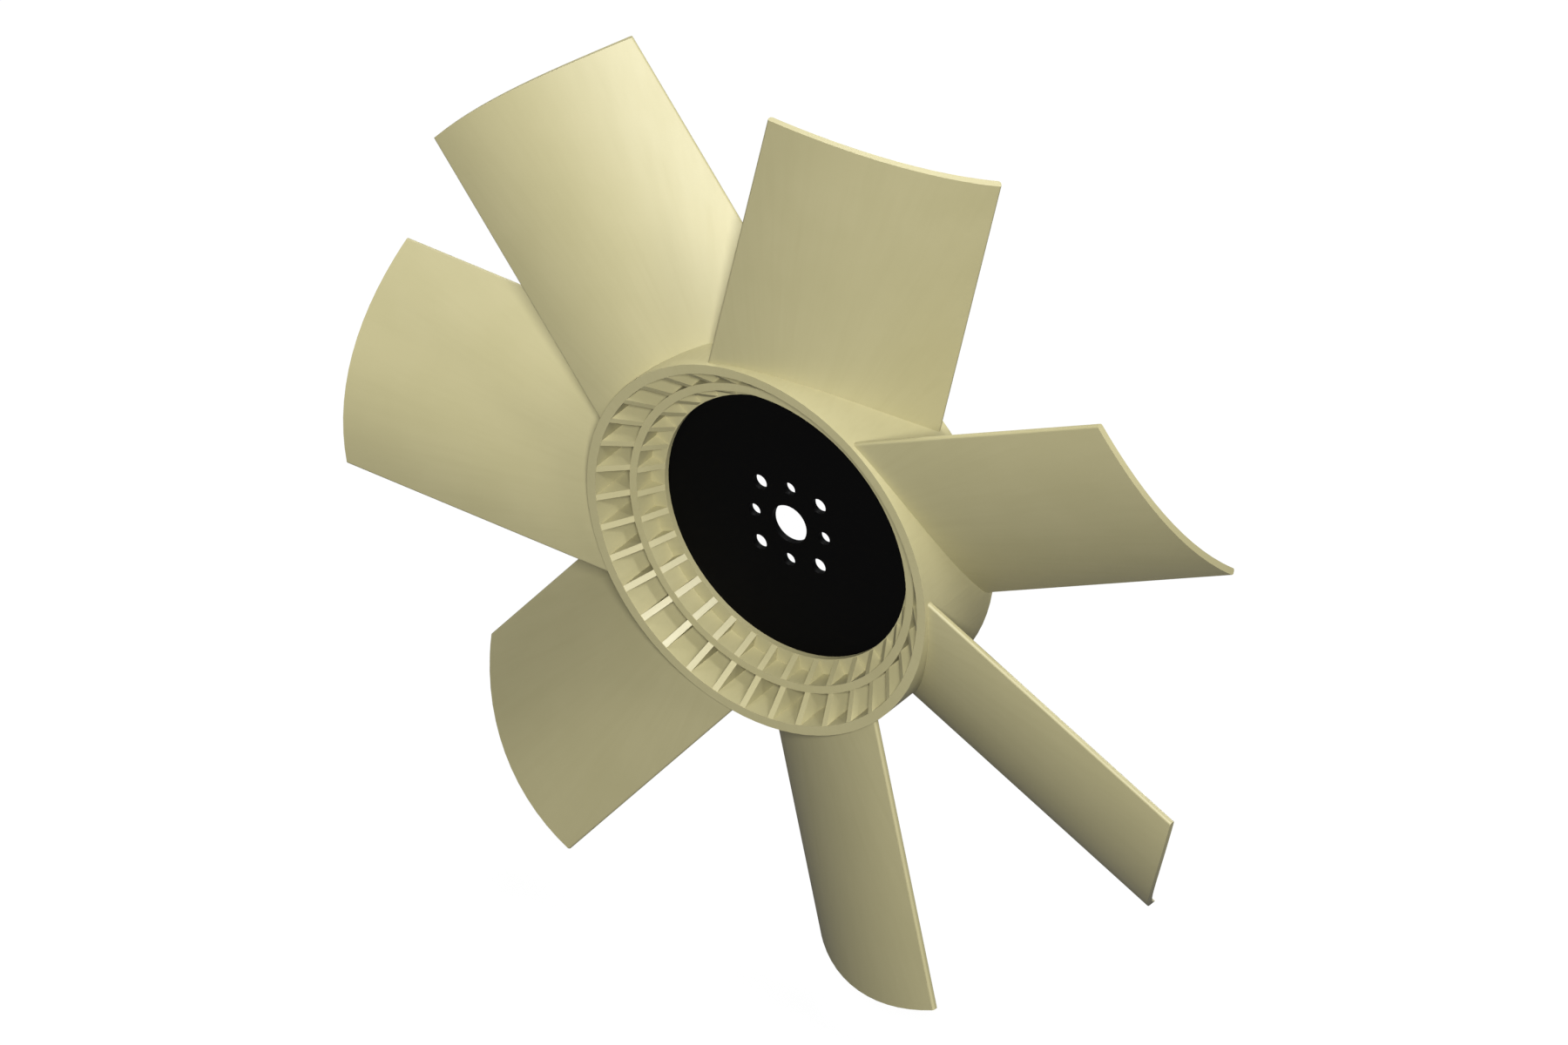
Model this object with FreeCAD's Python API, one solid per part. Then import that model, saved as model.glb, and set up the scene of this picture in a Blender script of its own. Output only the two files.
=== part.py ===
"""Axial fan impeller, 610 mm across, with seven blades.

One glass-filled nylon moulding carries the drum, the mid ring, the inner flange, the ribs and the
blades. A painted steel plate is moulded into the flange and bolts to the motor.

Millimetres. The spin axis is Y through the origin, the ribbed front faces -Y and +Z is up. The
mid-plane of the steel plate is Y = 0, and one blade points towards -X.
"""
import FreeCAD, Part

import math
import os

from FreeCAD import Vector

ORIGIN = Vector(0, 0, 0)
AXIS = Vector(0, 1, 0)

# Steel mounting plate
plate_t = 4.0
bore_d = 25.0
small_hole_d = 8.4
small_hole_pcd = 50.0
small_hole_count = 4
large_hole_d = 10.0
large_hole_pcd = 60.0
large_hole_count = 4
large_hole_turn = 45.0

# Inner flange, which grips the edge of the plate between two lips
flange_bore_d = 174.5
flange_lip_t = 3.5
plate_grip = 6.0

# Mid ring, standing up from the flange on both faces
ring_d = 204.5
ring_wall = 5.0
ring_stand = 14.5

# Web between the mid ring and the drum
web_t = 4.0

# Drum, whose rims stand past the blades in front and behind
drum_d = 244.0
drum_wall = 6.0
front_rim_past_blade = 2.8
rear_rim_past_blade = 4.0

# Radial ribs, sloping from the drum's rims to the mid ring and on to the flange
rib_count = 36
rib_t = 4.0
rib_turn = 5.0
rib_foot_land = 0.5
rib_below_rims = 0.3
rib_bite = 0.1

# Blades: thin plates bent to a circular arc, with the bulge towards the front
fan_d = 610.0
blade_count = 7
blade_turn = 180.0
blade_chord = 140.0
blade_pitch = 24.8
blade_camber_r = 166.6
blade_t = 4.0
blade_edge_round = 1.5
blade_lag = 1.6
blade_set_forward = 0.9


def polygon_face(points):
    """A flat face with straight edges between the points."""
    return Part.Face(Part.makePolygon(points + points[:1]))


def around(shape, count, turn):
    """Equally spaced copies about the spin axis, the first turned from +X towards +Z."""
    copies = []
    for i in range(count):
        copy = shape.copy()
        copy.rotate(ORIGIN, AXIS, -(turn + 360.0 * i / count))
        copies.append(copy)
    return copies


def drilled(centre_d, hole_d, y_from, length):
    """A cutter for one hole, on a circle of centre_d in the +X direction."""
    return Part.makeCylinder(hole_d / 2, length, Vector(centre_d / 2, y_from, 0), AXIS)


def blade_section():
    """The blade's closed outline, seen along its length, in the plane X = 0.

    Seen from the front, a blade's leading edge is on its counter-clockwise side, which is +Z for
    a blade that points towards +X.
    """
    pitch = math.radians(blade_pitch)
    half_arc = math.asin(blade_chord / 2 / blade_camber_r)
    chord_mid = Vector(0, -blade_set_forward, -blade_lag)
    to_front = Vector(0, -math.cos(pitch), -math.sin(pitch))
    along = Vector(0, math.sin(pitch), -math.cos(pitch))
    centre = chord_mid - to_front * (blade_camber_r * math.cos(half_arc))

    def on_arc(radius, angle):
        """A point at an angle from the middle of the chord, positive towards the trailing edge."""
        return centre + to_front * (radius * math.cos(angle)) + along * (radius * math.sin(angle))

    front_r = blade_camber_r + blade_t / 2
    rear_r = blade_camber_r - blade_t / 2
    curves = [
        Part.Arc(on_arc(front_r, -half_arc), on_arc(front_r, 0), on_arc(front_r, half_arc)),
        Part.LineSegment(on_arc(front_r, half_arc), on_arc(rear_r, half_arc)),
        Part.Arc(on_arc(rear_r, half_arc), on_arc(rear_r, 0), on_arc(rear_r, -half_arc)),
        Part.LineSegment(on_arc(rear_r, -half_arc), on_arc(front_r, -half_arc)),
    ]
    return Part.Wire([curve.toShape() for curve in curves])


def blade_reach(section):
    """How far the blades reach in front of the plate's mid-plane, and behind it."""
    box = section.BoundBox
    return -box.YMin, box.YMax


def blade(section):
    """One blade towards +X, from the middle of the drum's wall out to the fan's diameter."""
    slab = Part.Face(section).extrude(Vector(fan_d, 0, 0))
    box = slab.BoundBox
    y_from = box.YMin - 1
    length = box.YLength + 2
    root_r = (drum_d - drum_wall) / 2
    swept = Part.makeCylinder(fan_d / 2, length, Vector(0, y_from, 0), AXIS)
    swept = swept.cut(Part.makeCylinder(root_r, length, Vector(0, y_from, 0), AXIS))
    return slab.common(swept)


def blade_corners(body):
    """The long straight corners of the blades, outside the drum."""
    found = []
    for edge in body.Edges:
        middle = edge.valueAt((edge.FirstParameter + edge.LastParameter) / 2)
        outside = math.hypot(middle.x, middle.z) > drum_d / 2 + blade_t
        if outside and edge.Curve.TypeId == "Part::GeomLine":
            found.append(edge)
    return found


def hub_radii():
    """The radii shared by the hub's rings and its ribs, from the bore outwards."""
    bore_r = flange_bore_d / 2
    ring_out = ring_d / 2
    ring_in = ring_out - ring_wall
    drum_out = drum_d / 2
    drum_in = drum_out - drum_wall
    return bore_r, ring_in, ring_out, drum_in, drum_out


def hub(front, rear):
    """Flange, mid ring, web and drum, turned in one piece about the axis."""
    bore_r, ring_in, ring_out, drum_in, drum_out = hub_radii()
    flange = plate_t / 2 + flange_lip_t
    ring = flange + ring_stand
    web = web_t / 2
    outline = [
        Vector(bore_r, -flange, 0),
        Vector(ring_in, -flange, 0),
        Vector(ring_in, -ring, 0),
        Vector(ring_out, -ring, 0),
        Vector(ring_out, -web, 0),
        Vector(drum_in, -web, 0),
        Vector(drum_in, -front, 0),
        Vector(drum_out, -front, 0),
        Vector(drum_out, rear, 0),
        Vector(drum_in, rear, 0),
        Vector(drum_in, web, 0),
        Vector(ring_out, web, 0),
        Vector(ring_out, ring, 0),
        Vector(ring_in, ring, 0),
        Vector(ring_in, flange, 0),
        Vector(bore_r, flange, 0),
    ]
    return polygon_face(outline).revolve(ORIGIN, AXIS, 360)


def rib(front, rear):
    """One rib towards +X: a thin wall right across the hub, almost level with the rims.

    It bends just inside the walls that it crosses, so the rims of the mid ring and the drum stay
    whole circles.
    """
    bore_r, ring_in, ring_out, drum_in, drum_out = hub_radii()
    foot = bore_r + rib_foot_land
    flange = plate_t / 2 + flange_lip_t
    ring = flange + ring_stand - rib_below_rims
    front -= rib_below_rims
    rear -= rib_below_rims
    outline = [
        Vector(foot, -flange, -rib_t / 2),
        Vector(ring_in + rib_bite, -ring, -rib_t / 2),
        Vector(ring_out - rib_bite, -ring, -rib_t / 2),
        Vector(drum_in + rib_bite, -front, -rib_t / 2),
        Vector(drum_out - drum_wall / 2, -front, -rib_t / 2),
        Vector(drum_out - drum_wall / 2, rear, -rib_t / 2),
        Vector(drum_in + rib_bite, rear, -rib_t / 2),
        Vector(ring_out - rib_bite, ring, -rib_t / 2),
        Vector(ring_in + rib_bite, ring, -rib_t / 2),
        Vector(foot, flange, -rib_t / 2),
    ]
    return polygon_face(outline).extrude(Vector(0, 0, rib_t))


def impeller_moulding():
    """The whole moulding, with the seat of the plate's edge left open in its flange."""
    section = blade_section()
    front_reach, rear_reach = blade_reach(section)
    front = front_reach + front_rim_past_blade
    rear = rear_reach + rear_rim_past_blade
    body = hub(front, rear).multiFuse(around(blade(section), blade_count, blade_turn))
    body = body.removeSplitter()
    body = body.makeFillet(min(blade_edge_round, 0.45 * blade_t), blade_corners(body))
    body = body.multiFuse(around(rib(front, rear), rib_count, rib_turn))
    return body.cut(plate_blank()).removeSplitter()


def plate_blank():
    """The plate's disc before it is bored and drilled."""
    return Part.makeCylinder(flange_bore_d / 2 + plate_grip, plate_t, Vector(0, -plate_t / 2, 0), AXIS)


def mounting_plate():
    """The steel plate, with its bore and its two circles of holes."""
    y_from = -plate_t / 2 - 1
    length = plate_t + 2
    cutters = [drilled(0, bore_d, y_from, length)]
    cutters += around(drilled(small_hole_pcd, small_hole_d, y_from, length), small_hole_count, 0)
    cutters += around(
        drilled(large_hole_pcd, large_hole_d, y_from, length), large_hole_count, large_hole_turn
    )
    return plate_blank().cut(cutters)


os.makedirs("parts", exist_ok=True)
for name, shape in {
    "impeller_moulding": impeller_moulding(),
    "mounting_plate": mounting_plate(),
}.items():
    print(name, len(shape.Solids), "solid", shape.isValid(), round(shape.Volume), "mm3")
    shape.exportStep(f"parts/{name}.step")
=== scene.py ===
import math

import bpy
from mathutils import Matrix, Vector


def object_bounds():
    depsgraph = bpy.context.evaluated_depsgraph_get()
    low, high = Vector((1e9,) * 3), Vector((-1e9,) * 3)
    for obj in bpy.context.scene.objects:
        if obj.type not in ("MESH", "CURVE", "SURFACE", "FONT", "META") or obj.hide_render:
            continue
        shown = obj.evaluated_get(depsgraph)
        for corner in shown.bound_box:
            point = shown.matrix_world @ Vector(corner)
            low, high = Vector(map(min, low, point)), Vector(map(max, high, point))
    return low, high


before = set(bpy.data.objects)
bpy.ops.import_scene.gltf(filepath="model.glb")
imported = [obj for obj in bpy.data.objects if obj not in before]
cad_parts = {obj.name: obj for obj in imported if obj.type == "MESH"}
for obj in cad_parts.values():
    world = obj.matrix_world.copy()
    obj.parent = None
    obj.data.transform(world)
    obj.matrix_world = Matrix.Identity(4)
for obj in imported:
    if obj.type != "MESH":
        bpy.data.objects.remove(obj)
cad_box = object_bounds()


# Impeller moulding: one injection moulding in khaki, glass-filled nylon. The drum, the mid ring,
# the inner flange, the ribs and the seven blades leave the tool together, so the skin is the
# tool's fine eroded texture all over, with faint streaks where the glass ran out along the blades.
def feed(tree, socket, value):
    """Joins a socket to another node's output, or sets it to a plain value."""
    if isinstance(value, bpy.types.NodeSocket):
        tree.links.new(value, socket)
    else:
        socket.default_value = value


def feed_all(tree, node, **inputs):
    """Feeds a node's inputs by name, with an underscore for each space in a name."""
    for name, value in inputs.items():
        feed(tree, node.inputs[name.replace("_", " ")], value)
    return node


def add(tree, kind, **inputs):
    """A new shader node with its inputs fed."""
    return feed_all(tree, tree.nodes.new(kind), **inputs)


def math_step(tree, operation, *values):
    """What one Math node works out from the values."""
    node = tree.nodes.new("ShaderNodeMath")
    node.operation = operation
    for socket, value in zip(node.inputs, values):
        feed(tree, socket, value)
    return node.outputs["Value"]


def noise(tree, place, per_m, detail, fineness):
    """A noise pattern from 0 to 1, with about so many patches to the metre."""
    node = add(
        tree, "ShaderNodeTexNoise",
        Vector=place, Scale=per_m, Detail=detail, Roughness=fineness,
    )
    return node.outputs["Fac"]


def spread(tree, value, low, high, starts=0.3, ends=0.7):
    """A value between low and high, by how far the given one is from where it starts to its end.

    Most of a noise pattern lies between 0.3 and 0.7, so it starts and ends there unless told.
    """
    node = add(
        tree, "ShaderNodeMapRange",
        Value=value, From_Min=starts, From_Max=ends, To_Min=low, To_Max=high,
    )
    return node.outputs["Result"]


def blend(tree, share, first, second):
    """The first colour, which goes over to the second as the share rises from 0 to 1."""
    node = tree.nodes.new("ShaderNodeMix")
    node.data_type = "RGBA"
    return feed_all(tree, node, Factor=share, A=first, B=second).outputs["Result"]


def raised(tree, pattern, depth, strength):
    """The normals of a skin that a pattern raises by up to so many metres."""
    node = add(tree, "ShaderNodeBump", Height=pattern, Distance=depth, Strength=strength)
    return node.outputs["Normal"]


def new_finish(name):
    """A new material, its node tree and its Principled shader."""
    material = bpy.data.materials.new(name)
    material.use_nodes = True
    tree = material.node_tree
    return material, tree, tree.nodes["Principled BSDF"]


def dress(piece, material):
    """Gives a piece of the CAD model its one material."""
    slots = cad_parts[piece].data.materials
    slots.clear()
    slots.append(material)


def flow_streaks(tree, place):
    """A noise pattern drawn out along the blades, as the glass ran from the hub.

    It is long outwards, and narrow round the axis and in depth. The direction from the axis stands
    for the angle round it, so that the pattern closes on itself without a seam.
    """
    outwards_per_m = 9.0
    round_per_radian = 34.0
    deep_per_m = 70.0
    x, y, z = add(tree, "ShaderNodeSeparateXYZ", Vector=place).outputs
    x_squared = math_step(tree, "MULTIPLY", x, x)
    z_squared = math_step(tree, "MULTIPLY", z, z)
    from_axis = math_step(tree, "SQRT", math_step(tree, "ADD", x_squared, z_squared))
    across = math_step(tree, "DIVIDE", x, from_axis)
    upwards = math_step(tree, "DIVIDE", z, from_axis)
    flow = add(
        tree, "ShaderNodeCombineXYZ",
        X=math_step(tree, "MULTIPLY", across, round_per_radian),
        Y=math_step(tree, "MULTIPLY", y, deep_per_m),
        Z=math_step(tree, "MULTIPLY", upwards, round_per_radian),
    )
    node = tree.nodes.new("ShaderNodeTexNoise")
    node.noise_dimensions = "4D"
    feed_all(
        tree, node,
        Vector=flow.outputs["Vector"],
        W=math_step(tree, "MULTIPLY", from_axis, outwards_per_m),
        Scale=1.0, Detail=4.0, Roughness=0.6,
    )
    return node.outputs["Fac"]


def glass_filled_nylon():
    """Khaki, a little lighter in clouds of resin and a little darker in streaks of glass."""
    khaki = (0.343, 0.313, 0.163, 1)
    resin_rich = (0.358, 0.326, 0.174, 1)
    glass_rich = (0.324, 0.295, 0.151, 1)
    clouds_per_m = 22
    streaks_start = 0.45
    streaks_full = 0.8
    streaks_strength = 0.55
    roughness_least = 0.52
    roughness_most = 0.58
    streaks_roughen = 0.05
    nylon_ior = 1.58
    satin_level = 0.7
    grain_per_m = 1500
    grain_depth = 0.00003
    grain_strength = 0.6

    material, tree, skin = new_finish("glass_filled_nylon")
    place = add(tree, "ShaderNodeTexCoord").outputs["Object"]
    clouds = noise(tree, place, clouds_per_m, detail=5.0, fineness=0.55)
    streaks = flow_streaks(tree, place)
    grain = noise(tree, place, grain_per_m, detail=3.0, fineness=0.6)

    clouded = blend(tree, spread(tree, clouds, 0, 1), khaki, resin_rich)
    streaked = spread(tree, streaks, 0, streaks_strength, streaks_start, streaks_full)
    feed_all(
        tree, skin,
        Base_Color=blend(tree, streaked, clouded, glass_rich),
        Roughness=math_step(
            tree, "ADD",
            spread(tree, clouds, roughness_least, roughness_most),
            spread(tree, streaks, 0, streaks_roughen),
        ),
        IOR=nylon_ior,
        Specular_IOR_Level=satin_level,
        Normal=raised(tree, grain, grain_depth, grain_strength),
    )
    return material


dress("impeller_moulding", glass_filled_nylon())


# Mounting plate: a 4 mm steel disc, laser cut and drilled, then painted satin black before it is
# laid in the tool and the flange is moulded round its edge.
def satin_black_paint():
    """Black paint with a faint orange peel, rubbed a little uneven."""
    black = (0.0010, 0.0010, 0.0011, 1)
    rubbed_per_m = 35
    roughness_least = 0.46
    roughness_most = 0.58
    paint_ior = 1.5
    gloss_level = 0.04
    peel_per_m = 420
    peel_depth = 0.00003
    peel_strength = 0.5

    material, tree, coat = new_finish("satin_black_paint")
    place = add(tree, "ShaderNodeTexCoord").outputs["Object"]
    rubbed = noise(tree, place, rubbed_per_m, detail=5.0, fineness=0.6)
    peel = noise(tree, place, peel_per_m, detail=2.0, fineness=0.5)
    feed_all(
        tree, coat,
        Base_Color=black,
        Roughness=spread(tree, rubbed, roughness_least, roughness_most),
        IOR=paint_ior,
        Specular_IOR_Level=gloss_level,
        Normal=raised(tree, peel, peel_depth, peel_strength),
    )
    return material


dress("mounting_plate", satin_black_paint())


# Camera: a very long lens, because the photograph shows no perspective. It stands above the
# fan's right front, and the spin axis crosses the picture a little right of its centre.
def from_fan(azimuth, elevation):
    """The direction from the fan, in degrees round from its front towards +X, and degrees up."""
    turn = math.radians(azimuth)
    rise = math.radians(elevation)
    level = math.cos(rise)
    return Vector((math.sin(turn) * level, -math.cos(turn) * level, math.sin(rise)))


camera_azimuth = 36.061
camera_elevation = 34.819
metres_per_pixel = 0.000508
picture_w = 1800
picture_h = 1200
axis_px_across = 908.2
axis_px_down = 600.2
lens_mm = 1100.0
film_mm = 36.0
nearest_seen = 1.0
farthest_seen = 100.0

back = from_fan(camera_azimuth, camera_elevation)
right = from_fan(camera_azimuth + 90.0, 0.0)
up = back.cross(right)
aim = (
    right * ((picture_w / 2 - axis_px_across) * metres_per_pixel)
    + up * ((axis_px_down - picture_h / 2) * metres_per_pixel)
)
distance = picture_w * metres_per_pixel * lens_mm / film_mm

camera_data = bpy.data.cameras.new("camera")
camera_data.lens = lens_mm
camera_data.sensor_width = film_mm
camera_data.clip_start = nearest_seen
camera_data.clip_end = farthest_seen
camera = bpy.data.objects.new("camera", camera_data)
facing = Matrix((right, up, back)).transposed().to_4x4()
camera.matrix_world = Matrix.Translation(aim + back * distance) @ facing
bpy.context.scene.collection.objects.link(camera)
bpy.context.scene.camera = camera


# Studio: a key softbox on the camera's line, weaker ones at the right and overhead, and one behind
# the fan for the views from the back. The room adds a dim even light, and is white to the camera.
def softbox(name, azimuth, elevation, width, watts):
    """A round softbox that faces the fan."""
    away = 8.0
    data = bpy.data.lights.new(name, "AREA")
    data.shape = "DISK"
    data.size = width
    data.energy = watts
    lamp = bpy.data.objects.new(name, data)
    outwards = from_fan(azimuth, elevation)
    lamp.location = outwards * away
    lamp.rotation_mode = "QUATERNION"
    lamp.rotation_quaternion = outwards.to_track_quat("Z", "Y")
    bpy.context.scene.collection.objects.link(lamp)


def white_seen(tree):
    """How much of the studio's white a ray sees: all from the camera, a part in gloss or glass.

    At full strength the white would shine off the satin skin and wash out its dark sides.
    """
    part_in_gloss = 0.25
    ray = add(tree, "ShaderNodeLightPath")
    in_gloss = math_step(
        tree, "MAXIMUM", ray.outputs["Is Glossy Ray"], ray.outputs["Is Transmission Ray"]
    )
    part = math_step(tree, "MULTIPLY", in_gloss, part_in_gloss)
    return math_step(tree, "MAXIMUM", ray.outputs["Is Camera Ray"], part)


softbox("key_softbox", azimuth=36.0, elevation=35.0, width=1.4, watts=905)
softbox("side_softbox", azimuth=78.0, elevation=50.0, width=1.6, watts=240)
softbox("top_softbox", azimuth=-102.0, elevation=80.0, width=2.4, watts=450)
softbox("back_softbox", azimuth=190.0, elevation=20.0, width=2.2, watts=420)

studio_white = (1, 1, 1, 1)
room_light = 0.01
full_white = 1.0
world = bpy.data.worlds.new("room")
bpy.context.scene.world = world
world.use_nodes = True
room = world.node_tree
feed_all(
    room, room.nodes["Background"],
    Color=studio_white,
    Strength=spread(room, white_seen(room), room_light, full_white, starts=0, ends=1),
)


# Floor: a plain board, just under the lowest blade. It glows almost white to the camera, and the
# lamps on its dark grey add the rest, so that it keeps the fan's soft shadow.
floor_gap = 0.035
floor_half = 6.0
floor_grey = (0.05, 0.05, 0.05, 1)
floor_glow = 0.94

floor_z = cad_box[0][2] - floor_gap
corners = [(-1, -1), (1, -1), (1, 1), (-1, 1)]
floor_data = bpy.data.meshes.new("floor")
floor_data.from_pydata(
    [(x * floor_half, y * floor_half, floor_z) for x, y in corners], [], [(0, 1, 2, 3)]
)
floor = bpy.data.objects.new("floor", floor_data)
bpy.context.scene.collection.objects.link(floor)

floor_material = bpy.data.materials.new("pale_floor")
floor_material.use_nodes = True
board = floor_material.node_tree
board.nodes.clear()
lit = add(board, "ShaderNodeBsdfDiffuse", Color=floor_grey)
glow = math_step(board, "MULTIPLY", white_seen(board), floor_glow)
glowing = add(board, "ShaderNodeEmission", Color=studio_white, Strength=glow)
both = board.nodes.new("ShaderNodeAddShader")
feed(board, both.inputs[0], lit.outputs["BSDF"])
feed(board, both.inputs[1], glowing.outputs["Emission"])
add(board, "ShaderNodeOutputMaterial", Surface=both.outputs["Shader"])
floor_data.materials.append(floor_material)

bpy.context.scene.view_settings.view_transform = "Standard"
